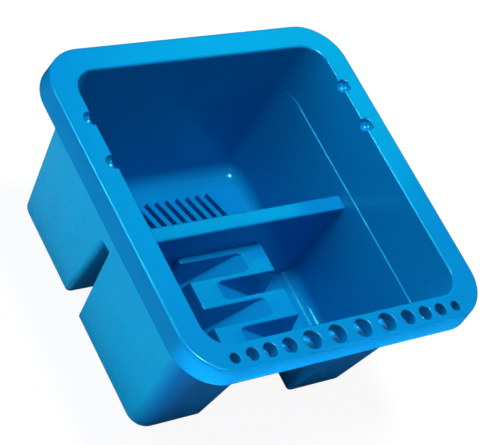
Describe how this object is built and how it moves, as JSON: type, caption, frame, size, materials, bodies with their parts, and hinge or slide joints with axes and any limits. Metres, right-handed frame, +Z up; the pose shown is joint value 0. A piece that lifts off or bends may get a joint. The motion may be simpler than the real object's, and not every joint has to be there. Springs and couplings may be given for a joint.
{
  "type": "brush washing caddy",
  "caption": "Square plastic wash tub: a divider parts its wells, with a notched brush rest, a ribbed scrubbing insert, hollow feet and a flanged rim pierced for brush handles.",
  "frame": {"origin": "centre of the square footprint, on the plane the feet rest on", "axes": "+Z up out of the wells, -Y towards the rim side with the row of handle holes, +X to the right when that side faces the viewer"},
  "size_m": [0.171, 0.171, 0.089],
  "materials": {
    "blue_plastic": "glossy azure, unprinted"
  },
  "bodies": {
    "root": {"tub": "blue_plastic", "brush_rest": "blue_plastic", "scrub_comb": "blue_plastic"}
  },
  "joints": []
}
